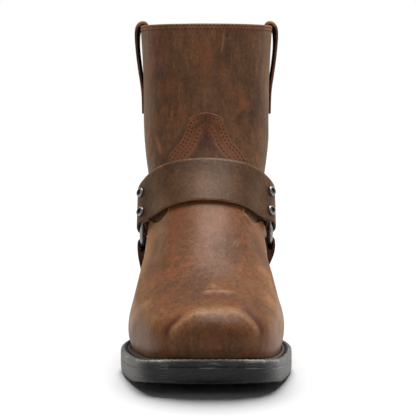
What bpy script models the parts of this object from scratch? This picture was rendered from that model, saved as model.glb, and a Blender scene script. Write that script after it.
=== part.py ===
"""Harness boot for the right foot: a pull-on leather boot on a stitched welt, with a square toe.

Sizes and tables are in millimetres, and MM turns them into metres as each mesh is made.
+Z is up, the toe points along -Y, and +X is the medial side of the foot.
"""

import math
from collections import namedtuple

import bmesh
import bpy
from mathutils import Vector

MM = 0.001

# Driving sizes
LENGTH = 306.0
BALL_WIDTH = 118.0
COLLAR_HEIGHT = 243.0
COLLAR_SWELL = 0.8
HEEL_HEIGHT = 27.0
TOE_SPRING = 6.6
OUTSOLE = 10.5
WELT = 5.2
INSOLE_ABOVE_WELT = 1.0
WALL = 2.4
GAP = 0.3
SKIN_GAP = 0.4

# Places along the sole
TREAD_FRONT = -80.0
TREAD_BACK = -20.0
ARCH_BACK = 62.0
HEEL_BREAST = 76.0

# Shares of the length where the foot is measured across
TOE_STATION = 0.05
BALL_STATION = 0.29
WAIST_STATION = 0.64
HEEL_STATION = 0.84
HEEL_SQUARE = 2.2
TAPER_POWER = 1.4
ARCH_TOP = 0.10

# One row for each closed section of the last, feather line to collar. rise is its share of the way up;
# front, back, nose and tail are shares of LENGTH; toe, ball, waist and heel are half widths as shares of
# BALL_WIDTH; nose and tail are how long the ends take to reach full width, square how blunt the toe is,
# and sway how much of the foot's sideways bend the section has.
Section = namedtuple("Section", "rise front back toe ball waist heel nose square tail sway")
SECTIONS = (
    Section(0.000, 0.023, 0.980, 0.290, 0.434, 0.263, 0.280, 0.105, 3.5, 0.121, 1.0),  # feather line
    Section(0.032, 0.019, 0.987, 0.306, 0.452, 0.288, 0.297, 0.108, 3.5, 0.124, 1.0),  # swell
    Section(0.073, 0.020, 0.990, 0.308, 0.456, 0.308, 0.303, 0.110, 3.4, 0.127, 1.0),  # toe wall
    Section(0.110, 0.031, 0.991, 0.302, 0.441, 0.322, 0.308, 0.120, 3.1, 0.131, 1.0),  # toe edge
    Section(0.140, 0.062, 0.990, 0.292, 0.424, 0.333, 0.313, 0.147, 2.7, 0.134, 1.0),  # toe ridge
    Section(0.172, 0.114, 0.988, 0.290, 0.408, 0.341, 0.317, 0.185, 2.4, 0.137, 0.9),  # toe box
    Section(0.217, 0.186, 0.984, 0.300, 0.396, 0.347, 0.325, 0.235, 2.3, 0.141, 0.7),  # vamp
    Section(0.284, 0.265, 0.979, 0.320, 0.385, 0.351, 0.335, 0.262, 2.2, 0.144, 0.4),  # ball crease
    Section(0.363, 0.340, 0.972, 0.364, 0.373, 0.353, 0.346, 0.245, 2.1, 0.144, 0.1),  # instep
    Section(0.445, 0.402, 0.966, 0.364, 0.364, 0.364, 0.363, 0.196, 2.1, 0.144, 0.0),  # under the strap
    Section(0.563, 0.469, 0.962, 0.402, 0.402, 0.402, 0.394, 0.154, 2.1, 0.141, 0.0),  # throat
    Section(0.672, 0.502, 0.960, 0.405, 0.405, 0.405, 0.405, 0.144, 2.1, 0.141, 0.0),  # lower shaft
    Section(0.829, 0.520, 0.961, 0.411, 0.411, 0.411, 0.411, 0.141, 2.1, 0.141, 0.0),  # shaft
    Section(1.000, 0.526, 0.962, 0.428, 0.428, 0.428, 0.428, 0.137, 2.1, 0.137, 0.0),  # collar
)
FEATHER = SECTIONS[0]
COLLAR = SECTIONS[-1]
SOLE_EDGE = Section(0.000, 0.000, 1.000, 0.386, 0.507, 0.318, 0.326, 0.100, 3.6, 0.131, 0.3)

# How far the middle of the foot lies to the medial side, at shares of the length
Bend = namedtuple("Bend", "station shift")
INFLARE = (Bend(0.03, 3.0), Bend(0.29, 0.0), Bend(0.64, -2.5), Bend(0.84, 0.0))

# Mesh grid of the upper: columns round the foot, denser at the toe, and rows between two sections
COLUMNS = 52
COLUMN_CROWDING = 1.4
ROWS_PER_SECTION = 2


def ease(start, end, value):
    """0 before start, 1 after end, with a smooth rise between."""
    share = min(max((value - start) / (end - start), 0.0), 1.0)
    return share * share * (3.0 - 2.0 * share)


def halve(low, high, is_low):
    """The value between low and high where is_low stops being true."""
    for _ in range(30):
        middle = (low + high) / 2
        if is_low(middle):
            low = middle
        else:
            high = middle
    return (low + high) / 2


def inflare(station):
    """Sideways shift of the foot's middle line at a share of the length."""
    for near, far in zip(INFLARE, INFLARE[1:]):
        if station <= far.station:
            return near.shift + (far.shift - near.shift) * ease(near.station, far.station, station)
    return INFLARE[-1].shift


def section(level):
    """The section at a row number that may lie between two rows, on a smooth curve through them."""
    index = min(int(level), len(SECTIONS) - 2)
    part = level - index
    picks = [SECTIONS[min(max(index + step, 0), len(SECTIONS) - 1)] for step in (-1, 0, 1, 2)]
    values = []
    for before, start, end, after in zip(*picks):
        rise = end - start
        bend_in = (end - before) / 2
        bend_out = (after - start) / 2
        cubic = bend_in + bend_out - 2 * rise
        square = 3 * rise - 2 * bend_in - bend_out
        values.append(start + part * (bend_in + part * (square + part * cubic)))
    return Section(*values)


def narrowed(row, inset):
    """The same outline drawn in all round by inset."""
    along = inset / LENGTH
    across = inset / BALL_WIDTH
    return row._replace(
        front=row.front + along,
        back=row.back - along,
        toe=row.toe - across,
        ball=row.ball - across,
        waist=row.waist - across,
        heel=row.heel - across,
    )


def blended(row, other, share):
    """An outline a share of the way from one row to another."""
    return Section(*(near + (far - near) * share for near, far in zip(row, other)))


def rounded_end(reach, power):
    """Share of the full width at a share of the way in from a rounded end."""
    return (1.0 - (1.0 - min(max(reach, 0.0), 1.0)) ** power) ** (1.0 / power)


def taper(station):
    """Share of the way from the toe's width to the ball's, a bulging curve that levels out at the ball."""
    share = (station - TOE_STATION) / (BALL_STATION - TOE_STATION)
    return 1.0 - (1.0 - min(max(share, 0.0), 1.0)) ** TAPER_POWER


def half_width(row, station):
    """Half width of an outline at a share of the length."""
    width = row.toe
    width += (row.ball - row.toe) * taper(station)
    width += (row.waist - row.ball) * ease(BALL_STATION, WAIST_STATION, station)
    width += (row.heel - row.waist) * ease(WAIST_STATION, HEEL_STATION, station)
    toe = rounded_end((station - row.front) / row.nose, row.square)
    heel = rounded_end((row.back - station) / row.tail, HEEL_SQUARE)
    return width * toe * heel * BALL_WIDTH


ARCH_TURNS = (0.20, 0.40, 0.70, 0.90)


def arch_share(turn):
    """1 along the arch, where all low outlines keep their points at the same places, 0 at the ends."""
    grows, full, fades, ends = ARCH_TURNS
    return ease(grows, full, abs(turn)) * (1.0 - ease(fades, ends, abs(turn)))


def outline(row, turn):
    """Plan point of an outline: turn 0 is the toe, 1 the heel, and its sign the side."""
    swing = (1.0 - math.cos(math.pi * abs(turn))) / 2
    station = row.front + (row.back - row.front) * swing
    station += (swing - station) * arch_share(turn) * (1.0 - ease(0.0, ARCH_TOP, row.rise))
    shift = inflare(station) * row.sway
    x = math.copysign(half_width(row, station), turn) + shift
    return x, (station - 0.5) * LENGTH


def sole_bottom(y):
    """Height of the outsole's underside: toe spring, flat tread, arch and heel seat."""
    toe = TOE_SPRING * (max(0.0, TREAD_FRONT - y) / (TREAD_FRONT + LENGTH / 2)) ** 2
    return toe + HEEL_HEIGHT * ease(TREAD_BACK, ARCH_BACK, y)


def sole_top(y):
    return sole_bottom(y) + OUTSOLE


def seat(y):
    """Height of the welt where the upper stands on it."""
    return sole_top(y) + GAP + WELT


def collar_height(y):
    """The collar is a little higher at the sides than in front and behind."""
    middle = (COLLAR.front + COLLAR.back - 1.0) * LENGTH / 2
    reach = (COLLAR.back - COLLAR.front) * LENGTH / 2
    away = min(abs(y - middle) / reach, 1.0)
    return COLLAR_HEIGHT + COLLAR_SWELL * (1.0 - away * away) ** 2


def upper_point(turn, level):
    """Point on the outside of the upper."""
    row = section(level)
    x, y = outline(row, turn)
    foot = seat(y) + GAP
    return Vector((x, y, foot + row.rise * (collar_height(y) - foot)))


def upper_normal(turn, level):
    """Outward direction of the upper's outside."""
    step = 0.01
    ahead = turn + step if turn + step <= 1 else turn + step - 2
    behind = turn - step if turn - step >= -1 else turn - step + 2
    higher = min(level + 0.05, len(SECTIONS) - 1.0)
    lower = max(level - 0.05, 0.0)
    along = upper_point(ahead, level) - upper_point(behind, level)
    up = upper_point(turn, higher) - upper_point(turn, lower)
    return along.cross(up).normalized()


def level_at(y, z):
    """Row number of the upper that passes through a place in the side view."""
    foot = seat(y) + GAP
    rise = (z - foot) / (collar_height(y) - foot)
    return halve(0.0, len(SECTIONS) - 1.0, lambda level: section(level).rise < rise)


def side_turn(y, level, side):
    """Turn of the upper's outline at a distance along the foot."""
    row = section(level)
    share = (y / LENGTH + 0.5 - row.front) / (row.back - row.front)
    return side * math.acos(1.0 - 2.0 * min(max(share, 0.0), 1.0)) / math.pi


def side_point(y, z, side, lift):
    """Point a lift off the upper's outside, at a place in the side view; side is +1 or -1."""
    level = level_at(y, z)
    turn = side_turn(y, level, side)
    return upper_point(turn, level) + upper_normal(turn, level) * lift


def front_point(x, z, lift):
    """Point a lift off the upper's outside, at a place in the front view."""
    side = math.copysign(1.0, x)

    def is_narrower(y):
        level = level_at(y, z)
        return abs(upper_point(side_turn(y, level, side), level).x) < abs(x)

    return side_point(halve(-LENGTH / 2, LENGTH / 4, is_narrower), z, side, lift)


def surface(color, roughness, metallic=0.0):
    """Settings of a plain shader for one kind of material."""
    return {"Base Color": (*color, 1.0), "Roughness": roughness, "Metallic": metallic}


FINISHES = {
    "oiled_leather": surface((0.105, 0.046, 0.024), 0.55),
    "vamp_leather": surface((0.245, 0.098, 0.048), 0.5),
    "harness_leather": surface((0.135, 0.072, 0.046), 0.6),
    "insole_board": surface((0.32, 0.19, 0.10), 0.85),
    "welt_rubber": surface((0.055, 0.054, 0.052), 0.6),
    "sole_rubber": surface((0.022, 0.022, 0.021), 0.65),
    "nickel_steel": surface((0.56, 0.55, 0.53), 0.3, 1.0),
}


def finish(name):
    """The named material, made on first use."""
    known = bpy.data.materials.get(name)
    if known:
        return known
    material = bpy.data.materials.new(name)
    material.use_nodes = True
    shader = material.node_tree.nodes["Principled BSDF"]
    for socket, value in FINISHES[name].items():
        shader.inputs[socket].default_value = value
    return material


def place(name, bm, material, origin=None):
    """Make a bmesh in millimetres into a named object under the boot's empty."""
    bmesh.ops.scale(bm, vec=(MM, MM, MM), verts=bm.verts)
    mesh = bpy.data.meshes.new(name)
    bm.to_mesh(mesh)
    bm.free()
    mesh.shade_smooth()
    mesh.set_sharp_from_angle(angle=math.radians(40))
    mesh.materials.append(finish(material))
    piece = bpy.data.objects.new(name, mesh)
    bpy.context.collection.objects.link(piece)
    piece.parent = boot
    if origin:
        piece.location = origin * MM
    return piece


def skin(rows, ring=False, tube=False):
    """A bmesh of faces between each row of points and the next.

    ring closes each row on itself, and tube joins the last row to the first.
    """
    bm = bmesh.new()
    verts = [[bm.verts.new(point) for point in row] for row in rows]
    row_pairs = list(zip(verts, verts[1:]))
    if tube:
        row_pairs.append((verts[-1], verts[0]))
    for low, high in row_pairs:
        count = len(low) if ring else len(low) - 1
        for index in range(count):
            after = (index + 1) % len(low)
            bm.faces.new((low[index], low[after], high[after], high[index]))
    return bm


def thicken(piece, thickness, offset):
    """Give a sheet its thickness: offset -1 goes inwards, 0 to both sides."""
    wall = piece.modifiers.new("wall", "SOLIDIFY")
    wall.thickness = thickness * MM
    wall.offset = offset
    wall.use_even_offset = True
    wall.use_quality_normals = True
    return piece


def slab(name, levels, material):
    """A solid of stacked outlines, each given as its medial and lateral points from front to back.

    Top and bottom are closed by strips across, so both can follow the sole's curve.
    """
    bm = bmesh.new()
    loops = []
    for medial, lateral in levels:
        points = list(medial) + list(reversed(lateral))
        loops.append([bm.verts.new(point) for point in points])
    count = len(loops[0])
    for low, high in zip(loops, loops[1:]):
        for index in range(count):
            after = (index + 1) % count
            bm.faces.new((low[index], low[after], high[after], high[index]))
    for loop in (loops[0], loops[-1]):
        for index in range(count // 2 - 1):
            across = count - 1 - index
            bm.faces.new((loop[index], loop[index + 1], loop[across - 1], loop[across]))
    bmesh.ops.remove_doubles(bm, verts=bm.verts, dist=0.01)
    bmesh.ops.recalc_face_normals(bm, faces=bm.faces)
    return place(name, bm, material)


def column_turn(share):
    """Turn of a mesh column, with the columns crowded towards the toe."""
    return math.copysign(abs(share) ** COLUMN_CROWDING, share)


def half_turns():
    """Turns of the mesh columns on one side, toe to heel."""
    half = COLUMNS // 2
    return [column_turn(index / half) for index in range(half + 1)]


def sole_level(row, height):
    """One outline of a sole layer; height gives z along the foot."""
    sides = []
    for side in (1, -1):
        plan = [outline(row, side * max(turn, 1e-9)) for turn in half_turns()]
        sides.append([Vector((x, y, height(y))) for x, y in plan])
    return sides


def build_upper():
    rows = []
    level_count = (len(SECTIONS) - 1) * ROWS_PER_SECTION + 1
    for number in range(level_count):
        level = number / ROWS_PER_SECTION
        turns = [column_turn(2 * column / COLUMNS - 1) for column in range(COLUMNS)]
        rows.append([upper_point(turn, level) for turn in turns])
    upper = place("upper", skin(rows, ring=True), "oiled_leather")
    thicken(upper, WALL, -1)


# Outsole side, from the tread up: drawn in by inset at a height over the underside
EdgeStep = namedtuple("EdgeStep", "inset height")
OUTSOLE_EDGE = (EdgeStep(1.3, 0.0), EdgeStep(0.3, 1.4), EdgeStep(0.0, 3.6), EdgeStep(0.0, OUTSOLE))
HEEL_EDGE = (EdgeStep(3.2, 0.0), EdgeStep(2.0, 1.4), EdgeStep(0.8, HEEL_HEIGHT - GAP))
HEEL_BREAST_LEAN = 3.0
HEEL_COLUMNS = 12


def build_outsole():
    levels = []
    for step in OUTSOLE_EDGE:
        row = narrowed(SOLE_EDGE, step.inset)
        levels.append(sole_level(row, lambda y, rise=step.height: sole_bottom(y) + rise))
    slab("outsole", levels, "sole_rubber")


def build_heel():
    levels = []
    for step in HEEL_EDGE:
        row = narrowed(SOLE_EDGE, step.inset)
        breast = HEEL_BREAST + HEEL_BREAST_LEAN * (1.0 - step.height / HEEL_HEIGHT)
        share = (breast / LENGTH + 0.5 - row.front) / (row.back - row.front)
        first = math.acos(1.0 - 2.0 * share) / math.pi
        sides = []
        for side in (1, -1):
            turns = [first + (1.0 - first) * index / HEEL_COLUMNS for index in range(HEEL_COLUMNS + 1)]
            plan = [outline(row, side * turn) for turn in turns]
            sides.append([Vector((x, y, step.height)) for x, y in plan])
        levels.append(sides)
    slab("heel", levels, "sole_rubber")


def build_insole():
    row = narrowed(FEATHER, WALL + 2 * GAP)
    bottom = sole_level(row, lambda y: sole_top(y) + GAP)
    top = sole_level(row, lambda y: seat(y) + INSOLE_ABOVE_WELT)
    slab("insole", [bottom, top], "insole_board")


# Welt section, from its outer edge (share 0) to the foot of the upper (share 1)
WeltPoint = namedtuple("WeltPoint", "share height")
WELT_SECTION = (
    WeltPoint(0.00, 0.0),
    WeltPoint(0.00, 4.0),
    WeltPoint(0.10, 4.9),
    WeltPoint(0.36, 4.9),
    WeltPoint(0.48, 3.7),
    WeltPoint(0.84, 3.7),
    WeltPoint(0.96, WELT),
)


def build_welt():
    outlines = [(blended(SOLE_EDGE, FEATHER, point.share), point.height) for point in WELT_SECTION]
    inner = narrowed(FEATHER, WALL + GAP)
    outlines.append((inner, WELT))
    outlines.append((inner, 0.0))
    rows = []
    for row, height in outlines:
        turns = [column_turn(2 * column / COLUMNS - 1) for column in range(COLUMNS)]
        plan = [outline(row, turn) for turn in turns]
        rows.append([Vector((x, y, sole_top(y) + GAP + height)) for x, y in plan])
    bm = skin(rows, ring=True, tube=True)
    bmesh.ops.recalc_face_normals(bm, faces=bm.faces)
    place("welt", bm, "welt_rubber")


# Raised tongue of the vamp on the front of the shaft, from under the strap to its rounded top
TongueRow = namedtuple("TongueRow", "height half_width crown")
TONGUE = (
    TongueRow(122.0, 28.0, 0.0),
    TongueRow(134.0, 28.2, 0.0),
    TongueRow(142.0, 27.8, 0.0),
    TongueRow(148.0, 26.0, 0.0),
    TongueRow(154.0, 21.8, 0.0),
    TongueRow(160.0, 17.4, 0.0),
    TongueRow(166.0, 14.3, 0.2),
    TongueRow(170.5, 13.2, 0.5),
    TongueRow(174.0, 11.6, 0.8),
    TongueRow(176.4, 8.4, 0.9),
)
TONGUE_THICKNESS = 1.2
TONGUE_COLUMNS = 10


def build_vamp_tongue():
    lift = SKIN_GAP + TONGUE_THICKNESS / 2
    rows = []
    for row in TONGUE:
        points = []
        for column in range(TONGUE_COLUMNS + 1):
            share = 2 * column / TONGUE_COLUMNS - 1
            height = row.height + row.crown * (1 - share * share)
            points.append(front_point(row.half_width * share, height, lift))
        rows.append(points)
    tongue = place("vamp_tongue", skin(rows), "vamp_leather")
    thicken(tongue, TONGUE_THICKNESS, 0)


# Harness rings, flat against the sides of the ankle
RING_X = 47.6
RING_Y = 26.0
RING_HEIGHT = 96.5
RING_LEAN = 0.75
RING_RADIUS = 20.0
WIRE_RADIUS = 1.9
RING_STEPS = 24
WIRE_STEPS = 8

# Harness straps. Each leaves the ring towards a place in the side view, folds round the wire, and its
# returned end is riveted or sewn to it. flat_to and land_at are distances from the middle of the ring
# where the strap starts to leave the ring's plane and where it lies on the upper; over is what it passes
# over beyond its returned end.
STRAP_LEATHER = 1.8
Strap = namedtuple("Strap", "aim_y aim_z ring_width far_width flat_to land_at returned lift over")
FRONT_STRAP = Strap(-20.5, 127.4, 30.0, 37.8, 22.0, 37.0, 33.0, SKIN_GAP, TONGUE_THICKNESS + GAP)
HEEL_STRAP = Strap(146.0, 88.0, 23.0, 25.0, 22.0, 62.0, 36.0, SKIN_GAP, 0.0)
SIDE_STRAP = Strap(18.0, 40.0, 20.0, 24.0, 22.0, 42.0, 39.0, 2 * SKIN_GAP, 0.0)
NORMAL_STEP = 0.5
NORMAL_SHARE = 0.1
STRAP_ACROSS = (-1.0, -0.5, 0.0, 0.5, 1.0)
LAYER = WIRE_RADIUS + GAP + STRAP_LEATHER / 2
TWO_LAYERS = STRAP_LEATHER + GAP
FOLD_STEPS = 5
STRAP_ROWS = 12
RETURN_ROWS = 5
SIDE_STRAP_FOOT = 2.2
SINGLE_AFTER = 8.0
CLOSE_AFTER = 6.0


def ring_middle(side):
    return Vector((side * RING_X, RING_Y, RING_HEIGHT + side * RING_LEAN))


def strap_way(strap, side):
    """Directions in the side view: away from the ring along the strap, and across it, upwards."""
    ring = ring_middle(side)
    away = Vector((0.0, strap.aim_y - ring.y, strap.aim_z - ring.z)).normalized()
    across = Vector((0.0, away.z, -away.y))
    return away, across if across.z > 0 else -across


def strap_half_width(strap, distance):
    share = ease(strap.flat_to, strap.land_at, distance)
    return (strap.ring_width + (strap.far_width - strap.ring_width) * share) / 2


def fold_distance(strap):
    """How far from the ring's middle the strap turns back, so that its edges clear the wire."""
    inside = RING_RADIUS - WIRE_RADIUS
    return math.sqrt(inside**2 - (strap.ring_width / 2) ** 2) + WIRE_RADIUS


def strap_place(strap, side, distance, across):
    """Place in the side view at a distance from the ring and a share of the half width."""
    away, sideways = strap_way(strap, side)
    offset = sideways * strap_half_width(strap, distance) * across
    return ring_middle(side) + away * distance + offset


def outer_layer(strap, side, distance, across):
    """Middle of the strap's leather, from the ring's plane down onto the upper."""
    spot = strap_place(strap, side, distance, across)
    single = ease(strap.returned, strap.returned + SINGLE_AFTER, distance)
    lift = strap.lift + STRAP_LEATHER / 2 + TWO_LAYERS * (1.0 - single) + strap.over * single
    on_upper = side_point(spot.y, spot.z, side, lift)
    by_ring = spot + Vector((side * LAYER, 0.0, 0.0))
    point = by_ring.lerp(on_upper, ease(strap.flat_to, strap.land_at, distance))
    if abs(point.x) < abs(on_upper.x):
        point.x = on_upper.x
    return point


def returned_layer(strap, side, distance, across):
    """Middle of the strap's returned end, which closes up under the outer layer past the ring."""
    spot = strap_place(strap, side, distance, across)
    by_ring = spot - Vector((side * LAYER, 0.0, 0.0))
    outer = outer_layer(strap, side, distance, across)
    under = outer - strap_normal(strap, side, distance, across) * TWO_LAYERS
    past_ring = RING_RADIUS + WIRE_RADIUS + GAP
    point = by_ring.lerp(under, ease(past_ring, past_ring + CLOSE_AFTER, distance))
    on_upper = side_point(spot.y, spot.z, side, SKIN_GAP + STRAP_LEATHER / 2)
    if abs(point.x) < abs(on_upper.x):
        point.x = on_upper.x
    return point


def strap_normal(strap, side, distance, across):
    """Outward direction of the strap's outer layer."""
    along = outer_layer(strap, side, distance + NORMAL_STEP, across)
    along -= outer_layer(strap, side, distance - NORMAL_STEP, across)
    over = outer_layer(strap, side, distance, across + NORMAL_SHARE)
    over -= outer_layer(strap, side, distance, across - NORMAL_SHARE)
    normal = along.cross(over).normalized()
    return normal if normal.x * side > 0 else -normal


def strap_reach(strap, side, across):
    """Distance from the ring at which the strap meets the upper's middle line."""

    def is_beside(distance):
        spot = strap_place(strap, side, distance, across)
        row = section(level_at(spot.y, spot.z))
        return row.front < spot.y / LENGTH + 0.5 < row.back

    return halve(RING_RADIUS, LENGTH / 2, is_beside)


def strap_end(strap, side):
    """Rows of the fold round the ring's wire and of the returned end."""
    fold = fold_distance(strap)
    rows = []
    for step in range(1, FOLD_STEPS):
        angle = math.pi * step / FOLD_STEPS
        out = side * LAYER * math.cos(angle)
        row = []
        for across in STRAP_ACROSS:
            away, _ = strap_way(strap, side)
            spot = strap_place(strap, side, fold, across)
            row.append(spot - away * LAYER * math.sin(angle) + Vector((out, 0.0, 0.0)))
        rows.append(row)
    for step in range(RETURN_ROWS + 1):
        distance = fold + (strap.returned - fold) * step / RETURN_ROWS
        rows.append([returned_layer(strap, side, distance, across) for across in STRAP_ACROSS])
    return rows


def strap_half(strap, side):
    """Rows of one half of a strap, from the boot's middle line to its returned end."""
    fold = fold_distance(strap)
    reaches = [strap_reach(strap, side, across) for across in STRAP_ACROSS]
    rows = []
    for step in range(STRAP_ROWS + 1):
        share = (step / STRAP_ROWS) ** 2
        distances = [reach + (fold - reach) * share for reach in reaches]
        pairs = zip(distances, STRAP_ACROSS)
        rows.append([outer_layer(strap, side, distance, across) for distance, across in pairs])
    return rows + strap_end(strap, side)


def build_round_strap(name, strap):
    """A strap from ring to ring over the instep or round the heel."""
    medial = strap_half(strap, 1)
    lateral = strap_half(strap, -1)
    middle = [(near + far) / 2 for near, far in zip(medial[0], lateral[0])]
    rows = list(reversed(medial[1:])) + [middle] + lateral[1:]
    thicken(place(name, skin(rows), "harness_leather"), STRAP_LEATHER, 0)


def strap_foot(strap, side, across):
    """Distance from the ring at which a strap going down stops, just over the welt."""

    def is_above_welt(distance):
        spot = strap_place(strap, side, distance, across)
        return spot.z > seat(spot.y) + SIDE_STRAP_FOOT

    return halve(RING_RADIUS, RING_HEIGHT, is_above_welt)


def build_side_strap(name, side):
    """A strap from the ring down to the welt, where it is sewn in."""
    strap = SIDE_STRAP
    fold = fold_distance(strap)
    feet = [strap_foot(strap, side, across) for across in STRAP_ACROSS]
    rows = []
    for step in range(STRAP_ROWS + 1):
        share = step / STRAP_ROWS
        pairs = [(foot + (fold - foot) * share, across) for foot, across in zip(feet, STRAP_ACROSS)]
        rows.append([outer_layer(strap, side, distance, across) for distance, across in pairs])
    rows += strap_end(strap, side)
    thicken(place(name, skin(rows), "harness_leather"), STRAP_LEATHER, 0)


def build_ring(name, side):
    """A wire ring whose axis runs across the boot through the ring's own middle."""
    bm = bmesh.new()
    bmesh.ops.create_circle(bm, segments=WIRE_STEPS, radius=WIRE_RADIUS)
    bmesh.ops.translate(bm, verts=bm.verts, vec=(0.0, RING_RADIUS, 0.0))
    bmesh.ops.spin(
        bm,
        geom=bm.verts[:] + bm.edges[:],
        cent=(0.0, 0.0, 0.0),
        axis=(1.0, 0.0, 0.0),
        angle=math.tau,
        steps=RING_STEPS,
        use_merge=True,
    )
    bmesh.ops.remove_doubles(bm, verts=bm.verts, dist=0.01)
    bmesh.ops.recalc_face_normals(bm, faces=bm.faces)
    place(name, bm, "nickel_steel", origin=ring_middle(side))


# Rivet cap with a dimple, turned from its underside to its middle
TurnPoint = namedtuple("TurnPoint", "radius height")
RIVET_TURNING = (
    TurnPoint(0.0, 0.0),
    TurnPoint(3.5, 0.0),
    TurnPoint(3.75, 0.5),
    TurnPoint(3.1, 1.3),
    TurnPoint(2.2, 1.6),
    TurnPoint(1.3, 1.2),
    TurnPoint(0.0, 1.0),
)
RIVET_STEPS = 8
RIVET_DISTANCE = 28.5
RIVET_PLACES = {"upper": 0.5, "lower": -0.5}


def build_rivet(name, strap, side, across):
    bm = bmesh.new()
    profile = [bm.verts.new((point.radius, 0.0, point.height)) for point in RIVET_TURNING]
    for low, high in zip(profile, profile[1:]):
        bm.edges.new((low, high))
    bmesh.ops.spin(
        bm,
        geom=bm.verts[:] + bm.edges[:],
        cent=(0.0, 0.0, 0.0),
        axis=(0.0, 0.0, 1.0),
        angle=math.tau,
        steps=RIVET_STEPS,
        use_merge=True,
    )
    bmesh.ops.remove_doubles(bm, verts=bm.verts, dist=0.01)
    bmesh.ops.recalc_face_normals(bm, faces=bm.faces)
    normal = strap_normal(strap, side, RIVET_DISTANCE, across)
    foot = outer_layer(strap, side, RIVET_DISTANCE, across)
    origin = foot + normal * (STRAP_LEATHER / 2 + GAP)
    rivet = place(name, bm, "nickel_steel", origin=origin)
    rivet.rotation_euler = normal.to_track_quat("Z", "Y").to_euler()


# Pull loop over the collar: height from the collar's edge, and how far the middle of the leather lies
# off the outside of the shaft
LoopPoint = namedtuple("LoopPoint", "height lift")
PULL_LOOP = (
    LoopPoint(-67.0, 1.35),
    LoopPoint(-58.0, 1.35),
    LoopPoint(-49.0, 1.5),
    LoopPoint(-38.0, 3.0),
    LoopPoint(-26.0, 4.2),
    LoopPoint(-14.0, 4.7),
    LoopPoint(-5.0, 4.7),
    LoopPoint(-0.6, 3.8),
    LoopPoint(2.3, 1.2),
    LoopPoint(3.2, -1.2),
    LoopPoint(2.3, -3.5),
    LoopPoint(-0.6, -5.0),
    LoopPoint(-6.0, -5.4),
    LoopPoint(-16.0, -4.7),
    LoopPoint(-24.0, -4.0),
    LoopPoint(-36.0, -3.95),
)
PULL_WIDTH = 30.0
PULL_THICKNESS = 1.8
PULL_ACROSS = (-1.0, -0.33, 0.33, 1.0)


def build_pull_loop(name, side):
    middle = (COLLAR.front + COLLAR.back - 1.0) * LENGTH / 2
    rows = []
    for point in PULL_LOOP:
        row = []
        for across in PULL_ACROSS:
            y = middle + across * PULL_WIDTH / 2
            height = collar_height(y) + point.height
            on_shaft = side_point(y, min(height, collar_height(y)), side, point.lift)
            row.append(on_shaft + Vector((0.0, 0.0, max(point.height, 0.0))))
        rows.append(row)
    thicken(place(name, skin(rows), "oiled_leather"), PULL_THICKNESS, 0)


for old in list(bpy.data.objects):
    bpy.data.objects.remove(old, do_unlink=True)

boot = bpy.data.objects.new("boot", None)
bpy.context.collection.objects.link(boot)

SIDES = {"lateral": -1, "medial": 1}

build_outsole()
build_heel()
build_insole()
build_welt()
build_upper()
build_vamp_tongue()
build_round_strap("harness_front_strap", FRONT_STRAP)
build_round_strap("harness_heel_strap", HEEL_STRAP)
for side_name, side_sign in SIDES.items():
    build_side_strap(f"side_strap_{side_name}", side_sign)
    build_ring(f"ring_{side_name}", side_sign)
    build_pull_loop(f"pull_loop_{side_name}", side_sign)
    for place_name, place_across in RIVET_PLACES.items():
        build_rivet(f"rivet_front_{side_name}_{place_name}", FRONT_STRAP, side_sign, place_across)
        build_rivet(f"rivet_heel_{side_name}_{place_name}", HEEL_STRAP, side_sign, place_across)
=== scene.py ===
"""Looks of a harness boot for the right foot: oiled brown leather, ringed straps and a rubber sole."""

import math
from collections import namedtuple

import bmesh
import bpy
from mathutils import Matrix, Vector, kdtree, noise
from mathutils.bvhtree import BVHTree


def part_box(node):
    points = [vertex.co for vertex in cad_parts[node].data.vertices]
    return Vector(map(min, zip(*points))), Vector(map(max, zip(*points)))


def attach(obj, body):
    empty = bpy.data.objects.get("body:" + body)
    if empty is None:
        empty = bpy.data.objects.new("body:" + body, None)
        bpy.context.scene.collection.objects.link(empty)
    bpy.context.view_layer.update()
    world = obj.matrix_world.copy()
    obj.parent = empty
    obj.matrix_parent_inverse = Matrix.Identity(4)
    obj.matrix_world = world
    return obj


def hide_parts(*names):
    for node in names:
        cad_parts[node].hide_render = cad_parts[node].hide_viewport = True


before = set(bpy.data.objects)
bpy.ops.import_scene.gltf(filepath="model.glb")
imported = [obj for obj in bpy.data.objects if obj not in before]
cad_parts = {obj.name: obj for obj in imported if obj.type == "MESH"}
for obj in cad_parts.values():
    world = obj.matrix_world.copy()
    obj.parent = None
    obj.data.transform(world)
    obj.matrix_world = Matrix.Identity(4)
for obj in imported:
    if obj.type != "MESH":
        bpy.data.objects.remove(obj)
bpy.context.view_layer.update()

# One millimetre. Plain sizes below are in millimetres, vectors and places in the studio in metres
MM = 0.001

# Insole
# A board of vegetable-tanned leather that the upper is lasted over and stitched to. It is bare leather,
# darkened where the foot and the dye of the lining have rubbed it.
INSOLE_PALE = "a07850"
INSOLE_DARK = "6b4a30"
SHARP = math.radians(50)
SAME_PLACE = 0.001
boot_pieces = []


def colour(code):
    """Linear colour of an sRGB hex code."""
    shares = [int(code[start : start + 2], 16) / 255 for start in (0, 2, 4)]
    linear = [share / 12.92 if share <= 0.04045 else ((share + 0.055) / 1.055) ** 2.4 for share in shares]
    return (*linear, 1.0)


def add(tree, kind, inputs, **settings):
    """Add a shader node with its settings, and give each input a value or link it to a socket."""
    node = tree.nodes.new("ShaderNode" + kind)
    for name, value in settings.items():
        setattr(node, name, value)
    for socket, value in inputs.items():
        if isinstance(value, bpy.types.NodeSocket):
            tree.links.new(value, node.inputs[socket])
        else:
            node.inputs[socket].default_value = value
    return node


def finish(name, **constants):
    """A new material, its node tree and its shader, with the shader's constant sockets set."""
    material = bpy.data.materials.new(name)
    material.use_nodes = True
    tree = material.node_tree
    shader = tree.nodes["Principled BSDF"]
    for socket, value in constants.items():
        shader.inputs[socket.replace("_", " ")].default_value = value
    return material, tree, shader


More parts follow.
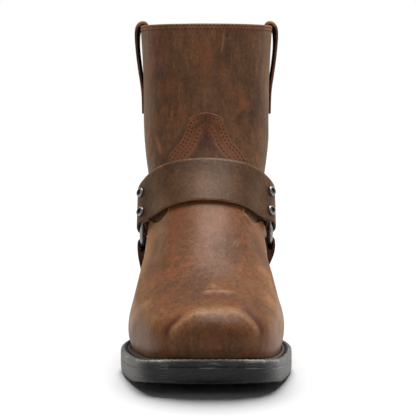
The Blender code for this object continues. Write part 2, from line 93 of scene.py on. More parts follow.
def per_metre(size_mm):
    """Texture scale on Object coordinates for a pattern of a real size."""
    return 1.0 / (size_mm * MM)


def copy_of(node):
    """A CAD node's shape, with its loose triangles merged and paired back into four-sided faces."""
    bm = bmesh.new()
    bm.from_mesh(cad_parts[node].data)
    bmesh.ops.remove_doubles(bm, verts=bm.verts, dist=SAME_PLACE * MM)
    bmesh.ops.join_triangles(bm, faces=bm.faces, angle_face_threshold=SHARP, angle_shape_threshold=math.pi)
    return bm


def rounded(bm, levels, crease):
    """The same shape with its facets rounded off; sharp edges stay crisp by the share crease."""
    layer = bm.edges.layers.float.new("crease_edge")
    for edge in bm.edges:
        if edge.calc_face_angle(math.pi) > SHARP:
            edge[layer] = crease
    mesh = bpy.data.meshes.new("rounding")
    bm.to_mesh(mesh)
    bm.free()
    helper = bpy.data.objects.new("rounding", mesh)
    bpy.context.scene.collection.objects.link(helper)
    modifier = helper.modifiers.new("rounding", "SUBSURF")
    modifier.levels = levels
    modifier.render_levels = levels
    graph = bpy.context.evaluated_depsgraph_get()
    smooth = bpy.data.meshes.new_from_object(helper.evaluated_get(graph))
    result = bmesh.new()
    result.from_mesh(smooth)
    bpy.data.objects.remove(helper)
    bpy.data.meshes.remove(mesh)
    bpy.data.meshes.remove(smooth)
    return result


def piece(name, bm, materials, node=None, body="boot"):
    """Make a bmesh into a piece that rides on a body, and stands for a CAD node if one is named."""
    mesh = bpy.data.meshes.new(name)
    bm.to_mesh(mesh)
    bm.free()
    mesh.shade_smooth()
    mesh.set_sharp_from_angle(angle=SHARP)
    for material in materials:
        mesh.materials.append(material)
    made = bpy.data.objects.new(name, mesh)
    bpy.context.scene.collection.objects.link(made)
    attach(made, body)
    if node:
        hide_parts(node)
    boot_pieces.append(made)
    return made


def insole_leather():
    """Bare tanned board: matte, cloudy, with a short fibre that breaks up the light."""
    material, tree, shader = finish("bare_leather_board", Roughness=0.85)
    spot = add(tree, "TexCoord", {}).outputs["Object"]
    cloud = add(tree, "TexNoise", {"Vector": spot, "Scale": per_metre(30), "Detail": 4.0})
    tone = add(
        tree,
        "Mix",
        {0: cloud.outputs["Fac"], 6: colour(INSOLE_DARK), 7: colour(INSOLE_PALE)},
        data_type="RGBA",
    )
    fibre = add(tree, "TexNoise", {"Vector": spot, "Scale": per_metre(1.0), "Detail": 3.0})
    relief = add(tree, "Bump", {"Strength": 0.3, "Distance": 0.2 * MM, "Height": fibre.outputs["Fac"]})
    tree.links.new(tone.outputs[2], shader.inputs["Base Color"])
    tree.links.new(relief.outputs["Normal"], shader.inputs["Normal"])
    return material


insole_shape = rounded(copy_of("insole"), levels=1, crease=1.0)
piece("insole_board", insole_shape, [insole_leather()], "insole")

# Upper
# Shaft and foot of oiled, waxed cowhide, 2.4 mm with its lining, pulled over the last. Where the toe was
# hammered down over a stiffener it keeps an arched ridge, and the vamp keeps folds from the lasting.
SHAFT_DARK = "432c1c"
SHAFT_BROWN = "5e3f29"
SHAFT_RED = "6a3c20"
# Paint colours: tan for wear and painted highlight, warm orange, and near black for grime and painted shade
WEAR_AND_HIGHLIGHT_TAN = "b0835a"
WARM_ORANGE = "7a4327"
DIRT_AND_SHADE_DARK = "26130b"
LINING_TAN = "a98a66"
LINING_BROWN = "80603f"
RAW_EDGE = "a06f48"
RAW_EDGE_DARK = "5d3a24"

# Creases and marks on the front of the leather, each a line of (x, z) places in the front view, how wide it
# spreads, how far it rises, how much it is painted pale for wear and highlight, warmed to orange, and painted
# dark for grime and shade
Mark = namedtuple("Mark", "line width rise rubbed warmed soiled")
RIDGE_LEFT = ((-21.4, 33.0), (-20.8, 36.4), (-18.8, 40.0), (-15.2, 43.8), (-9.2, 47.6), (-1.0, 49.6))
RIDGE_TOP = ((-11.0, 46.2), (-6.0, 48.6), (0.0, 49.4), (7.0, 49.8), (14.5, 49.4), (20.0, 48.4), (25.0, 45.8))
RIDGE_RIGHT = ((12.0, 49.6), (20.0, 48.6), (25.0, 46.0), (28.8, 41.6), (30.8, 37.6), (31.4, 34.0))
LEFT_LIMB = ((-39.5, 97.0), (-41.0, 87.0), (-41.2, 75.6), (-43.4, 69.2), (-46.0, 60.0))
FOLD_LINE = ((-4.8, 58.6), (0.0, 59.2), (5.0, 59.7), (9.0, 59.6), (14.0, 59.3), (20.1, 58.6))
FOLD_MARKS = (
    Mark(FOLD_LINE, 0.6, 0.4, 0.26, 0.0, 0.0),
    Mark(((-2.2, 59.4), (3.4, 63.6), (12.6, 59.7)), 0.7, 0.35, 0.12, 0.0, 0.0),
    Mark(((3.8, 62.0), (4.6, 61.6)), 1.8, 0.5, 0.22, 0.0, 0.0),
)
TOE_MARKS = FOLD_MARKS + (
    # The arched ridge of the toe, painted pale along its top, partly for wear and partly as a painted
    # highlight
    Mark(RIDGE_LEFT, 1.9, 1.0, 0.3, 0.0, 0.0),
    Mark(RIDGE_TOP, 2.5, 0.9, 0.42, 0.0, 0.0),
    Mark(RIDGE_RIGHT, 1.9, 1.0, 0.3, 0.0, 0.0),
    # Grooves beside the ridge, warmed red and painted dark as the shade in them
    Mark(((-25.4, 33.0), (-24.8, 38.0), (-22.4, 42.4), (-15.0, 48.0)), 2.2, -0.45, 0.0, 0.7, 0.7),
    Mark(((23.0, 51.2), (28.2, 48.2), (32.4, 43.4), (34.8, 38.6), (35.0, 33.0)), 2.2, -0.45, 0.0, 0.7, 0.7),
    Mark(((42.0, 45.0), (46.0, 33.0)), 5.0, 0.0, 0.12, 0.0, 0.0),
    # Darker on the face below the ridge, and painted grime and shade along the foot of the leather above the
    # welt
    Mark(((-12.0, 38.0), (25.0, 38.0)), 8.0, 0.0, 0.0, 0.0, 0.32),
    Mark(((-24.0, 26.0), (36.0, 26.0)), 5.0, 0.0, 0.0, 0.0, 0.35),
    Mark(((6.8, 29.8), (9.0, 29.2)), 1.3, 0.0, 0.1, 0.9, 0.0),
    # Painted shade in the trough under the fold, and a patch of painted shade above it on the right
    Mark(((-4.0, 56.4), (5.0, 57.6), (19.0, 56.8)), 1.2, -0.3, 0.0, 0.1, 0.2),
    Mark(((9.0, 66.0), (20.0, 69.0)), 3.0, 0.0, 0.0, 0.0, 0.2),
    # Soft ridges down the sides of the toe, with a painted highlight along them
    Mark(((-34.7, 53.0), (-43.4, 46.0), (-48.5, 36.5), (-49.6, 29.0)), 2.0, 0.5, 0.3, 0.0, 0.0),
    Mark(((37.4, 57.0), (44.3, 49.0), (49.0, 39.7), (50.0, 31.0)), 2.0, 0.5, 0.3, 0.0, 0.0),
)
VAMP_MARKS = (
    # Down the right side: a fold, a crease painted dark as its shade, and ridges painted pale, partly for
    # wear and partly as a painted highlight
    Mark(((29.5, 102.0), (36.0, 89.5), (43.3, 69.0), (47.0, 58.0)), 3.0, 0.7, 0.1, 0.1, 0.0),
    Mark(((31.0, 91.0), (34.0, 86.0), (37.3, 80.0), (41.4, 73.0), (44.3, 68.6)), 3.0, -0.9, 0.0, 0.0, 0.42),
    Mark(((41.0, 97.0), (42.6, 87.0), (42.8, 78.0), (44.6, 72.0)), 2.4, 0.3, 0.34, 0.0, 0.0),
    Mark(((32.4, 71.8), (37.6, 68.6), (42.1, 63.8), (44.6, 55.5), (46.7, 49.0)), 1.5, 0.5, 0.26, 0.0, 0.0),
    # Down the left side: a crease painted dark as its shade, and a ridge with a painted highlight
    Mark(((-33.2, 89.0), (-35.4, 78.2), (-38.1, 70.4), (-41.2, 65.0)), 3.0, -0.8, 0.0, 0.0, 0.3),
    Mark(LEFT_LIMB, 2.4, 0.3, 0.32, 0.0, 0.0),
    Mark(((18.0, 84.6), (20.6, 87.4)), 0.6, 0.2, 0.26, 0.0, 0.0),
    Mark(((20.4, 83.6), (22.6, 86.6)), 0.6, 0.2, 0.26, 0.0, 0.0),
    Mark(((25.0, 102.0), (29.0, 96.0), (33.0, 91.0)), 0.8, 0.2, 0.2, 0.2, 0.0),
    Mark(((-16.0, 64.0), (-8.0, 63.0), (0.0, 64.0)), 3.0, 0.0, 0.0, 0.0, 0.12),
    Mark(((-20.0, 108.0), (-21.0, 92.0)), 7.0, 0.0, 0.0, 0.45, 0.14),
    Mark(((-5.0, 106.0), (12.0, 104.0)), 9.0, 0.0, 0.12, 0.35, 0.0),
    Mark(((-31.0, 80.0), (-23.0, 88.0)), 9.0, 0.0, 0.0, 0.0, 0.15),
    Mark(((29.0, 84.0), (29.0, 74.0)), 8.0, 0.0, 0.0, 0.0, 0.16),
    # Painted shadow under the ends of the instep strap, in the notches of the vamp's edge
    Mark(((-37.0, 104.0), (-26.0, 97.0)), 4.0, 0.0, 0.0, 0.0, 0.35),
    Mark(((26.0, 97.0), (37.0, 104.0)), 4.0, 0.0, 0.0, 0.0, 0.35),
)
SHAFT_MARKS = (
    Mark(((13.1, 237.3), (12.7, 231.5), (10.9, 220.3)), 0.6, 0.0, 0.32, 0.3, 0.0),
    Mark(((29.4, 184.7), (22.0, 178.0)), 2.0, 0.0, 0.06, 0.6, 0.0),
    Mark(((-37.6, 160.5), (-33.0, 146.7)), 1.2, 0.0, 0.14, 0.7, 0.0),
    Mark(((-1.0, 224.0), (0.0, 204.0)), 6.0, 0.0, 0.0, 0.45, 0.0),
    Mark(((-41.7, 216.4), (-40.9, 205.7)), 2.6, 0.0, 0.0, 0.6, 0.0),
    Mark(((-35.0, 195.0), (-21.0, 194.0)), 5.0, 0.0, 0.0, 0.4, 0.0),
    Mark(((15.0, 195.0), (24.0, 193.0)), 4.0, 0.0, 0.0, 0.35, 0.0),
    Mark(((-17.0, 205.0), (-8.0, 206.5), (-2.0, 207.5)), 0.8, 0.3, 0.12, 0.0, 0.0),
    Mark(((3.0, 206.0), (10.0, 205.0), (17.0, 204.5)), 0.8, 0.3, 0.12, 0.0, 0.0),
    Mark(((-38.0, 234.0), (-28.0, 224.0)), 8.0, 0.0, 0.0, 0.0, 0.2),
    Mark(((0.0, 225.0), (0.0, 185.0)), 20.0, 0.0, 0.06, 0.1, 0.0),
)
PAINTS = ("rubbed", "warmed", "soiled")

# The marks end where the leather turns away from the front; those of the toe end behind it
MARKED_FRONT = 60.0
FRONT_FADE = 20.0
TURNED_AWAY = 0.5
TOE_END = -85.0

# Reach of a mark in its own widths, share of its length that fades at each end, and width of a fine one
MARK_REACH = 2.5
MARK_END_FADE = 0.22
FINE_MARK = 2.0

# Wear along an edge is uneven: its mean, how far it swings, and the size of its patches
WEAR_MEAN = 0.7
WEAR_SWING = 0.6
WEAR_PATCH = 9.0

# Slack of the leather: wide, shallow hollows that end under the collar
SLACK_MM = 26.0
SLACK_DEPTH = 0.45
SLACK_UNDER_COLLAR = 20.0

# Swell of the leather through the ring on the inner side of the foot
SWELL_MIDDLE = Vector((0.0425, 0.026, 0.085))
SWELL_WIDTH = 9.0
SWELL_RISE = 4.2
COLLAR_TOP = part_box("upper")[1].z


def ease(start, end, value):
    """0 at start, 1 at end, with a smooth change between."""
    share = min(max((value - start) / (end - start), 0.0), 1.0)
    return share * share * (3.0 - 2.0 * share)


def bell(distance, width):
    """1 at no distance, falling to nothing over about twice the width."""
    return math.exp(-((distance / width) ** 2))


def sides(bm):
    """Faces in groups that sharp edges part, the largest group first."""
    groups = []
    left = set(bm.faces)
    for seed in bm.faces:
        if seed not in left:
            continue
        left.remove(seed)
        group = [seed]
        for face in group:
            for edge in face.edges:
                if edge.calc_face_angle(math.pi) > SHARP:
                    continue
                for other in edge.link_faces:
                    if other in left:
                        left.remove(other)
                        group.append(other)
        groups.append(group)
    return sorted(groups, key=lambda group: -sum(face.calc_area() for face in group))


def paint_sides(bm, big_groups):
    """Material 0 and up for the largest groups of faces, and the next one for all the rest."""
    for index, group in enumerate(sides(bm)):
        for face in group:
            face.material_index = min(index, big_groups)


def point_layer(bm, name):
    """A value painted on the points of a shape, made at its first use."""
    return bm.verts.layers.float.get(name) or bm.verts.layers.float.new(name)


def rub_borders(bm, width_mm, amount):
    """Paint wear on the first material where it ends at another one or at an open edge."""
    rubbed = point_layer(bm, "rubbed")
    border = set()
    for edge in bm.edges:
        kinds = {face.material_index for face in edge.link_faces}
        if 0 in kinds and (len(kinds) > 1 or edge.is_boundary):
            border.update(edge.verts)
    places = kdtree.KDTree(len(border))
    for index, vert in enumerate(border):
        places.insert(vert.co, index)
    places.balance()
    for vert in bm.verts:
        distance = places.find(vert.co)[2] / MM
        uneven = WEAR_MEAN + WEAR_SWING * noise.noise(vert.co / (WEAR_PATCH * MM))
        wear = amount * (1.0 - ease(0.0, width_mm, distance)) * uneven
        vert[rubbed] = max(vert[rubbed], wear)


def line_share(line, spot, width):
    """How much of a mark a place in the front view gets: 1 on its line, less beside it and at its ends."""
    lengths = [math.dist(start, end) for start, end in zip(line, line[1:])]
    nearest = (math.inf, 0.0)
    passed = 0.0
    for start, end, length in zip(line, line[1:], lengths):
        run = ((end[0] - start[0]) / length, (end[1] - start[1]) / length)
        along = (spot[0] - start[0]) * run[0] + (spot[1] - start[1]) * run[1]
        along = min(max(along, 0.0), length)
        gap = math.dist(spot, (start[0] + along * run[0], start[1] + along * run[1]))
        nearest = min(nearest, (gap, passed + along))
        passed += length
    gap, along = nearest
    faded = MARK_END_FADE * passed
    fade = ease(-width, faded, along) * ease(-width, faded, passed - along)
    return bell(gap, width) * fade


def is_near(mark, x, z):
    """Whether a place in the front view lies within reach of a mark."""
    reach = MARK_REACH * mark.width
    across = [spot[0] for spot in mark.line]
    up = [spot[1] for spot in mark.line]
    return min(across) - reach < x < max(across) + reach and min(up) - reach < z < max(up) + reach


def ready_for_marks(bm):
    """Give a shape its paints and fresh normals."""
    for name in PAINTS:
        point_layer(bm, name)
    bm.normal_update()


def press_marks(bm, verts, marks):
    """Push a leather wall's points for its creases, and paint wear, grime, painted highlight and shade."""
    layers = [point_layer(bm, name) for name in PAINTS]
    for vert in verts:
        x, y, z = (part / MM for part in vert.co)
        facing = ease(TURNED_AWAY, 0.0, vert.normal.y) * ease(MARKED_FRONT, MARKED_FRONT - FRONT_FADE, y)
        if facing == 0.0:
            continue
        push = 0.0
        for mark in marks:
            if not is_near(mark, x, z):
                continue
            share = line_share(mark.line, (x, z), mark.width) * facing
            push += mark.rise * share
            for layer, amount in zip(layers, (mark.rubbed, mark.warmed, mark.soiled)):
                vert[layer] = max(vert[layer], amount * share)
        vert.co += vert.normal * push * MM


def refine(bm, marks, y_before):
    """Divide the outer faces near the fine marks, so that the leather can take their shape."""
    near = []
    for face in bm.faces:
        middle = face.calc_center_median() / MM
        if face.material_index == 0 and middle.y < y_before:
            if any(is_near(mark, middle.x, middle.z) for mark in marks):
                near.append(face)
    edges = {edge for face in near for edge in face.edges}
    bmesh.ops.subdivide_edges(bm, edges=list(edges), cuts=1, use_grid_fill=True)


def oiled_leather(name, dark, brown, red, patch_mm, offset, roughness=0.5):
    """Oiled, waxed leather: cloudy where the wax was pulled, paler for wear and painted highlight, soft low
    gloss.
    """
    material, tree, shader = finish(
        name, Specular_IOR_Level=0.21, Sheen_Weight=0.18, Sheen_Roughness=0.35, Sheen_Tint=colour("d8a470")
    )

    def mixed(share, under, over, blend="MIX"):
        """Colour socket of one layer laid over another."""
        return add(tree, "Mix", {0: share, 6: under, 7: over}, data_type="RGBA", blend_type=blend).outputs[2]

    def ranged(value, low, high, least=0.0, most=1.0):
        """A value stretched so that low gives least and high gives most."""
        steps = {"Value": value, "From Min": low, "From Max": high, "To Min": least, "To Max": most}
        return add(tree, "MapRange", steps).outputs[0]

    def cloudy(vector, size_mm, detail=5.0, rough=0.55):
        """Soft noise of a real size."""
        steps = {"Vector": vector, "Scale": per_metre(size_mm), "Detail": detail, "Roughness": rough}
        return add(tree, "TexNoise", steps).outputs["Fac"]

    def painted(layer):
        """Socket of a value that is painted on the points."""
        return add(tree, "Attribute", {}, attribute_name=layer).outputs["Fac"]

    spot = add(tree, "TexCoord", {}).outputs["Object"]
    moved = add(tree, "Mapping", {"Vector": spot, "Location": offset}).outputs["Vector"]
    brushed = add(tree, "Mapping", {"Vector": moved, "Rotation": (0.0, 0.5, 0.0), "Scale": (1.0, 1.0, 0.22)})
    crossed = add(tree, "Mapping", {"Vector": moved, "Rotation": (0.0, -0.7, 0.0), "Scale": (1.0, 1.0, 0.12)})
    cloud = cloudy(moved, patch_mm)
    mottle = cloudy(moved, 2.2, 6.0, 0.65)
    tone = mixed(ranged(cloud, 0.36, 0.64), colour(dark), colour(brown))
    tone = mixed(ranged(cloudy(moved, patch_mm * 0.5, 4.0), 0.48, 0.75, 0.0, 0.6), tone, colour(red))
    tone = mixed(1.0, tone, ranged(cloudy(brushed.outputs["Vector"], 4.0), 0.3, 0.7, 0.72, 1.26), "MULTIPLY")
    tone = mixed(1.0, tone, ranged(mottle, 0.3, 0.7, 0.68, 1.32), "MULTIPLY")
    scratch = ranged(cloudy(crossed.outputs["Vector"], 1.8, 3.0), 0.6, 0.72, 0.0, 0.16)
    tone = mixed(scratch, tone, colour(WEAR_AND_HIGHLIGHT_TAN))
    patchy = ranged(mottle, 0.3, 0.7, 0.6, 1.3)
    broken = add(tree, "Math", {0: painted("rubbed"), 1: patchy}, operation="MULTIPLY")
    tone = mixed(painted("warmed"), tone, colour(WARM_ORANGE))
    # Pale where painted for wear and highlight, near black where painted for grime and shade
    tone = mixed(broken.outputs[0], tone, colour(WEAR_AND_HIGHLIGHT_TAN))
    tone = mixed(painted("soiled"), tone, colour(DIRT_AND_SHADE_DARK))
    pores = add(tree, "TexVoronoi", {"Vector": moved, "Scale": per_metre(1.3)}, feature="F1")
    grain = add(tree, "Math", {0: pores.outputs["Distance"], 1: mottle}, operation="ADD")
    relief = add(tree, "Bump", {"Strength": 0.3, "Distance": 0.25 * MM, "Height": grain.outputs[0]})
    tree.links.new(tone, shader.inputs["Base Color"])
    tree.links.new(ranged(cloud, 0.3, 0.7, roughness + 0.07, roughness - 0.07), shader.inputs["Roughness"])
    tree.links.new(relief.outputs["Normal"], shader.inputs["Normal"])
    return material


def plain_hide(name, pale, dark, grain_mm, roughness):
    """Undyed side or cut edge of the hide: matte, fibrous, streaked along its fibres."""
    material, tree, shader = finish(name, Roughness=roughness, Specular_IOR_Level=0.2)
    spot = add(tree, "TexCoord", {}).outputs["Object"]
    fibre = add(tree, "TexNoise", {"Vector": spot, "Scale": per_metre(grain_mm), "Detail": 5.0})
    cloud = add(tree, "TexNoise", {"Vector": spot, "Scale": per_metre(grain_mm * 14), "Detail": 3.0})
    blend = add(tree, "Math", {0: fibre.outputs["Fac"], 1: cloud.outputs["Fac"]}, operation="MULTIPLY")
    share = add(tree, "MapRange", {"Value": blend.outputs[0], "From Min": 0.12, "From Max": 0.4})
    tone = add(tree, "Mix", {0: share.outputs[0], 6: colour(dark), 7: colour(pale)}, data_type="RGBA")
    relief = add(tree, "Bump", {"Strength": 0.4, "Distance": 0.2 * MM, "Height": fibre.outputs["Fac"]})
    tree.links.new(tone.outputs[2], shader.inputs["Base Color"])
    tree.links.new(relief.outputs["Normal"], shader.inputs["Normal"])
    return material


shaft_leather = oiled_leather(
    "waxed_shaft_leather", SHAFT_DARK, SHAFT_BROWN, SHAFT_RED, patch_mm=34.0, offset=(0.11, 0.02, 0.05)
)
lining_leather = plain_hide("napped_lining_leather", LINING_TAN, LINING_BROWN, grain_mm=1.1, roughness=0.9)
raw_edge = plain_hide("cut_leather_edge", RAW_EDGE, RAW_EDGE_DARK, grain_mm=0.8, roughness=0.8)

upper_shape = copy_of("upper")
paint_sides(upper_shape, 2)
upper_shape = rounded(upper_shape, levels=2, crease=0.85)
refine(upper_shape, TOE_MARKS, TOE_END)
refine(upper_shape, FOLD_MARKS, TOE_END)
refine(upper_shape, FOLD_MARKS[:1], TOE_END)
refine(upper_shape, [mark for mark in VAMP_MARKS + SHAFT_MARKS if mark.width < FINE_MARK], MARKED_FRONT)
ready_for_marks(upper_shape)
outside_verts = {vert for face in upper_shape.faces if face.material_index == 0 for vert in face.verts}
for vert in outside_verts:
    below_collar = (COLLAR_TOP - vert.co.z) / MM
    hollow = noise.noise(vert.co / (SLACK_MM * MM)) * ease(0.0, SLACK_UNDER_COLLAR, below_collar)
    swell = SWELL_RISE * bell((vert.co - SWELL_MIDDLE).length / MM, SWELL_WIDTH)
    vert.co += vert.normal * (hollow * SLACK_DEPTH + swell) * MM
press_marks(upper_shape, outside_verts, TOE_MARKS + VAMP_MARKS + SHAFT_MARKS)
rub_borders(upper_shape, width_mm=5.0, amount=0.4)
vamp_shape = upper_shape.copy()
upper_looks = [shaft_leather, lining_leather, raw_edge]
upper = piece("shaft_and_lining", upper_shape, upper_looks, "upper")

# Vamp
# The foot in a second, redder piece of the same hide, sewn over the shaft. Its edge dips in a rounded notch
# under each end of the instep strap, and runs back under the rings and the heel strap.
VAMP_DARK = "57341c"
VAMP_BROWN = "6e4627"
VAMP_RED = "713b1a"
VAMP_THICKNESS = 0.9
TONGUE_BAND = 27.0
TONGUE_BAND_TOP = 121.0
TONGUE_BACK = 20.0
NOTCH_TOP = 106.0
NOTCH_SLANT = 0.75
NOTCH_ROUND = 5.0

# Edge of the vamp on the side of the foot: (distance along the foot, height), toe side first
VAMP_EDGE = (
    (-60.0, 108.0),
    (-46.0, 101.0),
    (-39.0, 97.5),
    (-33.0, 95.6),
    (-28.0, 95.6),
    (-22.0, 96.8),
    (-10.0, 98.6),
    (6.0, 97.0),
    (24.0, 92.0),
    (50.0, 89.0),
    (150.0, 88.0),
)


def along_table(table, value):
    """Second column of a table at a value of its first, on a straight line between the rows."""
    if value <= table[0][0]:
        return table[0][1]
    for near, far in zip(table, table[1:]):
        if value <= far[0]:
            return near[1] + (far[1] - near[1]) * (value - near[0]) / (far[0] - near[0])
    return table[-1][1]


def inside_vamp(point):
    """Over 0 on the vamp, under 0 on the shaft, in millimetres from the vamp's edge."""
    x, y, z = (part / MM for part in point)
    by_side = along_table(VAMP_EDGE, y) - z
    band = TONGUE_BAND + NOTCH_SLANT * max(NOTCH_TOP - z, 0.0)
    by_tongue = min(band - abs(x), TONGUE_BAND_TOP - z, TONGUE_BACK - y)
    rounding = max(NOTCH_ROUND - abs(by_side - by_tongue), 0.0)
    return max(by_side, by_tongue) + rounding**2 / (4.0 * NOTCH_ROUND)


def cut_along(bm, inside):
    """Split the faces along the line where inside is 0, and delete what lies outside it."""
    crossing = []
    for edge in bm.edges:
        near, far = (inside(vert.co) for vert in edge.verts)
        if near * far < 0:
            crossing.append((edge, edge.verts[0], near / (near - far)))
    new_verts = [bmesh.utils.edge_split(edge, vert, share)[1] for edge, vert, share in crossing]
    bmesh.ops.connect_verts(bm, verts=new_verts)
    outside = [face for face in bm.faces if inside(face.calc_center_median()) < 0]
    bmesh.ops.delete(bm, geom=outside, context="FACES")


vamp_leather = oiled_leather(
    "waxed_vamp_leather", VAMP_DARK, VAMP_BROWN, VAMP_RED, patch_mm=42.0, offset=(0.31, 0.07, 0.0),
    roughness=0.46,
)
inner_faces = [face for face in vamp_shape.faces if face.material_index != 0]
bmesh.ops.delete(vamp_shape, geom=inner_faces, context="FACES")
cut_along(vamp_shape, inside_vamp)
rub_borders(vamp_shape, width_mm=3.0, amount=0.45)
vamp = piece("vamp", vamp_shape, [vamp_leather, raw_edge])
wall = vamp.modifiers.new("wall", "SOLIDIFY")
wall.thickness = VAMP_THICKNESS * MM
wall.offset = 1.0
wall.material_offset_rim = 1

# Vamp tongue
# The vamp's rounded tab on the front of the shaft, sewn down with a double row of thick thread along its
# edge and a single row round its middle. Its cut top edge shows pale.
TONGUE_DARK = "3b2014"
TONGUE_BROWN = "4d2c18"
TONGUE_RED = "582c15"
THREAD_BROWN = "7a4a30"
# Painted shade of the awl's holes between the stitches
HOLE_SHADE_BROWN = "200d07"
THREAD_PITCH = 3.0
THREAD_LONG = 1.9
THREAD_THICK = 0.6
HOLE_WIDE = 1.7
HOLE_HIGH = 0.35
PALE_ABOVE = 172.5
TO_HEEL = Vector((0.0, 1.0, 0.0))

# Top of the tongue: its edge falls in an arch from a small nib in the middle
TOP_BAND = (170.0, 175.5)
TOP_ARCH = 1.2
ARCH_HALF = (1.0, 10.0)
TOP_NIB = 0.7
NIB_WIDE = 0.8

# Rows of stitches on one half: (height, half width) from the strap up to the middle line
OUTER_ROW = (
    (138.0, 30.0), (145.5, 26.2), (148.5, 23.8), (151.0, 21.4), (154.0, 18.4), (158.0, 15.8), (163.0, 13.6),
    (168.0, 12.0), (170.5, 11.0), (172.3, 8.6), (173.5, 5.0), (174.2, 0.0),
)
SECOND_ROW = (
    (138.0, 27.0), (145.5, 23.0), (149.0, 20.6), (153.0, 16.6), (157.0, 13.8), (161.0, 11.8), (165.0, 10.6),
    (168.5, 9.6),
)
INNER_ROW = (
    (138.0, 24.0), (145.0, 17.0), (149.3, 12.8), (152.2, 10.6), (155.0, 9.0), (158.0, 7.6), (161.0, 6.6),
    (164.0, 5.2), (166.2, 3.6), (167.7, 1.8), (168.2, 0.0),
)

# Trimmed width of the tongue: (height, share of the solid's width)
TONGUE_TRIM = (
    (140.0, 1.0), (147.0, 1.0), (150.0, 0.98), (154.6, 0.93), (159.0, 0.92), (164.0, 0.97), (170.0, 1.06),
)


def solid_tree(made):
    """Ray tree of a piece as it is seen, with its modifiers."""
    return BVHTree.FromObject(made, bpy.context.evaluated_depsgraph_get())


def walk(points, pitch_mm):
    """Evenly spaced places along a line of points."""
    places = []
    carry = 0.0
    for near, far in zip(points, points[1:]):
        length = (far - near).length
        while carry <= length:
            places.append(near.lerp(far, carry / length))
            carry += pitch_mm * MM
        carry -= length
    return places


def seam_steps(hits):
    """Place, direction and normal of each stitch, from hits at half of the stitches' pitch."""
    steps = []
    for before, here, after in zip(hits[::2], hits[1::2], hits[2::2]):
        steps.append((here[0], (after[0] - before[0]).normalized(), here[1]))
    return steps


def sew_rows(name, rows, hole_wide):
    """Two pieces for rows of stitches: the thread, and the awl's holes between, painted dark as their shade.
    """
    thread = bmesh.new()
    holes = bmesh.new()
    for hits in rows:
        sew(thread, seam_steps(hits), THREAD_LONG, THREAD_THICK, THREAD_THICK)
        sew(holes, seam_steps(hits[1:]), hole_wide, hole_wide, HOLE_HIGH)
    piece(f"{name}_thread", thread, [brown_thread])
    piece(f"{name}_holes", holes, [awl_hole_shade])


def sew(bm, steps, long_mm, wide_mm, high_mm):
    """Add one rounded stitch at each step; a step is a place, its direction and the surface's normal."""
    for place, along, normal in steps:
        across = normal.cross(along).normalized()
        turn = Matrix((along, across, normal)).transposed().to_4x4()
        size = Matrix.Diagonal((long_mm / 2 * MM, wide_mm / 2 * MM, high_mm / 2 * MM, 1.0))
        bmesh.ops.create_uvsphere(
            bm, u_segments=8, v_segments=5, radius=1.0, matrix=Matrix.Translation(place) @ turn @ size
        )


def waxed_thread(name, pale, dark):
    """Twisted waxed thread: matte, streaked by its twist and by the dye of the leather."""
    material, tree, shader = finish(name, Roughness=0.7, Specular_IOR_Level=0.15)
    spot = add(tree, "TexCoord", {}).outputs["Object"]
    fuzz = add(tree, "TexNoise", {"Vector": spot, "Scale": per_metre(0.7), "Detail": 3.0})
    tone = add(tree, "Mix", {0: fuzz.outputs["Fac"], 6: colour(pale), 7: colour(dark)}, data_type="RGBA")
    tree.links.new(tone.outputs[2], shader.inputs["Base Color"])
    return material


tongue_leather = oiled_leather(
    "waxed_tongue_leather", TONGUE_DARK, TONGUE_BROWN, TONGUE_RED, patch_mm=22.0, offset=(0.52, 0.0, 0.2)
)
brown_thread = waxed_thread("waxed_brown_thread", THREAD_BROWN, RAW_EDGE_DARK)
# Dark discs between the stitches, painted as the shade inside the awl's holes
awl_hole_shade = waxed_thread("painted_shade_awl_hole", HOLE_SHADE_BROWN, RAW_EDGE_DARK)
tongue_shape = copy_of("vamp_tongue")
paint_sides(tongue_shape, 1)
# Down its sides the cut edge takes the dark tongue leather, painted as the shade along it
for face in tongue_shape.faces:
    is_edge = face.material_index == 1 and face.normal.y < TURNED_AWAY
    face.material_index = int(is_edge and face.calc_center_median().z > PALE_ABOVE * MM)
tongue_shape = rounded(tongue_shape, levels=3, crease=0.9)
upper_tree = solid_tree(upper)
for vert in tongue_shape.verts:
    under = upper_tree.ray_cast(vert.co - TO_HEEL, TO_HEEL)[0]
    vert.co.x *= along_table(TONGUE_TRIM, vert.co.z / MM)
    vert.co.y += upper_tree.ray_cast(vert.co - TO_HEEL, TO_HEEL)[0].y - under.y
    top = ease(*TOP_BAND, vert.co.z / MM)
    across = abs(vert.co.x) / MM
    vert.co.z += MM * top * (TOP_NIB * bell(across, NIB_WIDE) - TOP_ARCH * ease(*ARCH_HALF, across))
tongue_marks = []
for row in (OUTER_ROW, SECOND_ROW, INNER_ROW):
    for side in (-1, 1):
        line = tuple((side * half, height) for height, half in row)
        tongue_marks.append(Mark(line, width=2.4, rise=0.0, rubbed=0.1, warmed=0.45, soiled=0.0))
ready_for_marks(tongue_shape)
press_marks(tongue_shape, tongue_shape.verts, tongue_marks)
rub_borders(tongue_shape, width_mm=1.2, amount=0.5)
tongue = piece("vamp_tongue_tab", tongue_shape, [tongue_leather, raw_edge], "vamp_tongue")

tongue_tree = solid_tree(tongue)
tongue_hits = []
for row in (OUTER_ROW, SECOND_ROW, INNER_ROW):
    left = [Vector((-half * MM, 0.0, height * MM)) for height, half in row]
    right = [Vector((half * MM, 0.0, height * MM)) for height, half in reversed(row)]
    meets_middle = row[-1][1] == 0.0
    lines = [left + right[1:]] if meets_middle else [left, right]
    for line in lines:
        casts = [tongue_tree.ray_cast(spot - TO_HEEL, TO_HEEL) for spot in walk(line, THREAD_PITCH / 2)]
        tongue_hits.append([cast for cast in casts if cast[0]])
sew_rows("tongue_seam", tongue_hits, HOLE_WIDE)

